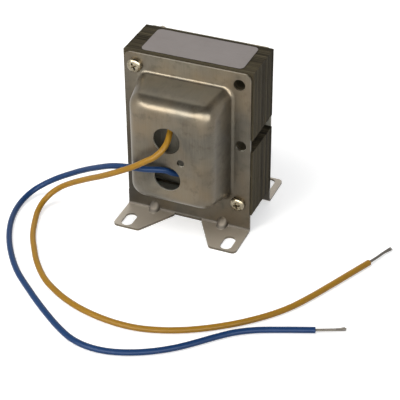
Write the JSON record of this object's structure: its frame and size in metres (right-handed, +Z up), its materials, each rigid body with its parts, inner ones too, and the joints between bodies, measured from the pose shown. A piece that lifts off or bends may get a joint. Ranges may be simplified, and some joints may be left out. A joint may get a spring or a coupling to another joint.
{
  "type": "single-phase transformer",
  "caption": "Laminated-core transformer between two drawn steel end bells with slotted feet, and insulated leads with stripped ends from the front.",
  "frame": {"origin": "on the surface that the feet stand on, under the middle of the core", "axes": "+X to the viewer's right, +Y from the front bell, where the leads leave, to the rear bell, +Z up"},
  "size_m": [0.1789, 0.1535, 0.0855],
  "materials": {
    "core_steel": "dark oxide, slightly brown sheet edges",
    "bell_steel": "bare drawn steel, satin, faint drawing marks",
    "former_nylon": "moulded, off-white",
    "primary_wire": "enamelled copper",
    "barrier_film": "amber film",
    "secondary_wire": "enamelled copper",
    "coil_tape": "grey-green tape, semi-matt",
    "wedge_fibre": "vulcanised fibre",
    "splice_tape": "tape, semi-matt",
    "zinc": "bright zinc plating",
    "label_foil": "grey-brown printed foil, semi-matt",
    "yellow_insulation": "soft plastic, golden ochre",
    "blue_insulation": "soft plastic, dark blue",
    "tinned_copper": "tinned strands"
  },
  "bodies": {
    "root": {"e_laminations": "core_steel", "i_laminations_1": "core_steel", "i_laminations_2": "core_steel", "i_laminations_3": "core_steel", "i_laminations_4": "core_steel", "i_laminations_5": "core_steel", "coil_former": "former_nylon", "primary_winding": "primary_wire", "winding_barrier": "barrier_film", "secondary_winding": "secondary_wire", "coil_wrap": "coil_tape", "coil_wedge_upper": "wedge_fibre", "coil_wedge_lower": "wedge_fibre", "yellow_lead_splice": "splice_tape", "blue_lead_splice": "splice_tape", "primary_start_splice": "splice_tape", "primary_finish_splice": "splice_tape", "front_end_bell": "bell_steel", "rear_end_bell": "bell_steel", "tie_screw_upper": "zinc", "tie_screw_lower": "zinc", "lock_washer_upper": "zinc", "lock_washer_lower": "zinc", "hex_nut_upper": "zinc", "hex_nut_lower": "zinc", "top_label": "label_foil", "yellow_lead": "yellow_insulation", "blue_lead": "blue_insulation", "yellow_lead_conductor": "tinned_copper", "blue_lead_conductor": "tinned_copper"}
  },
  "joints": []
}
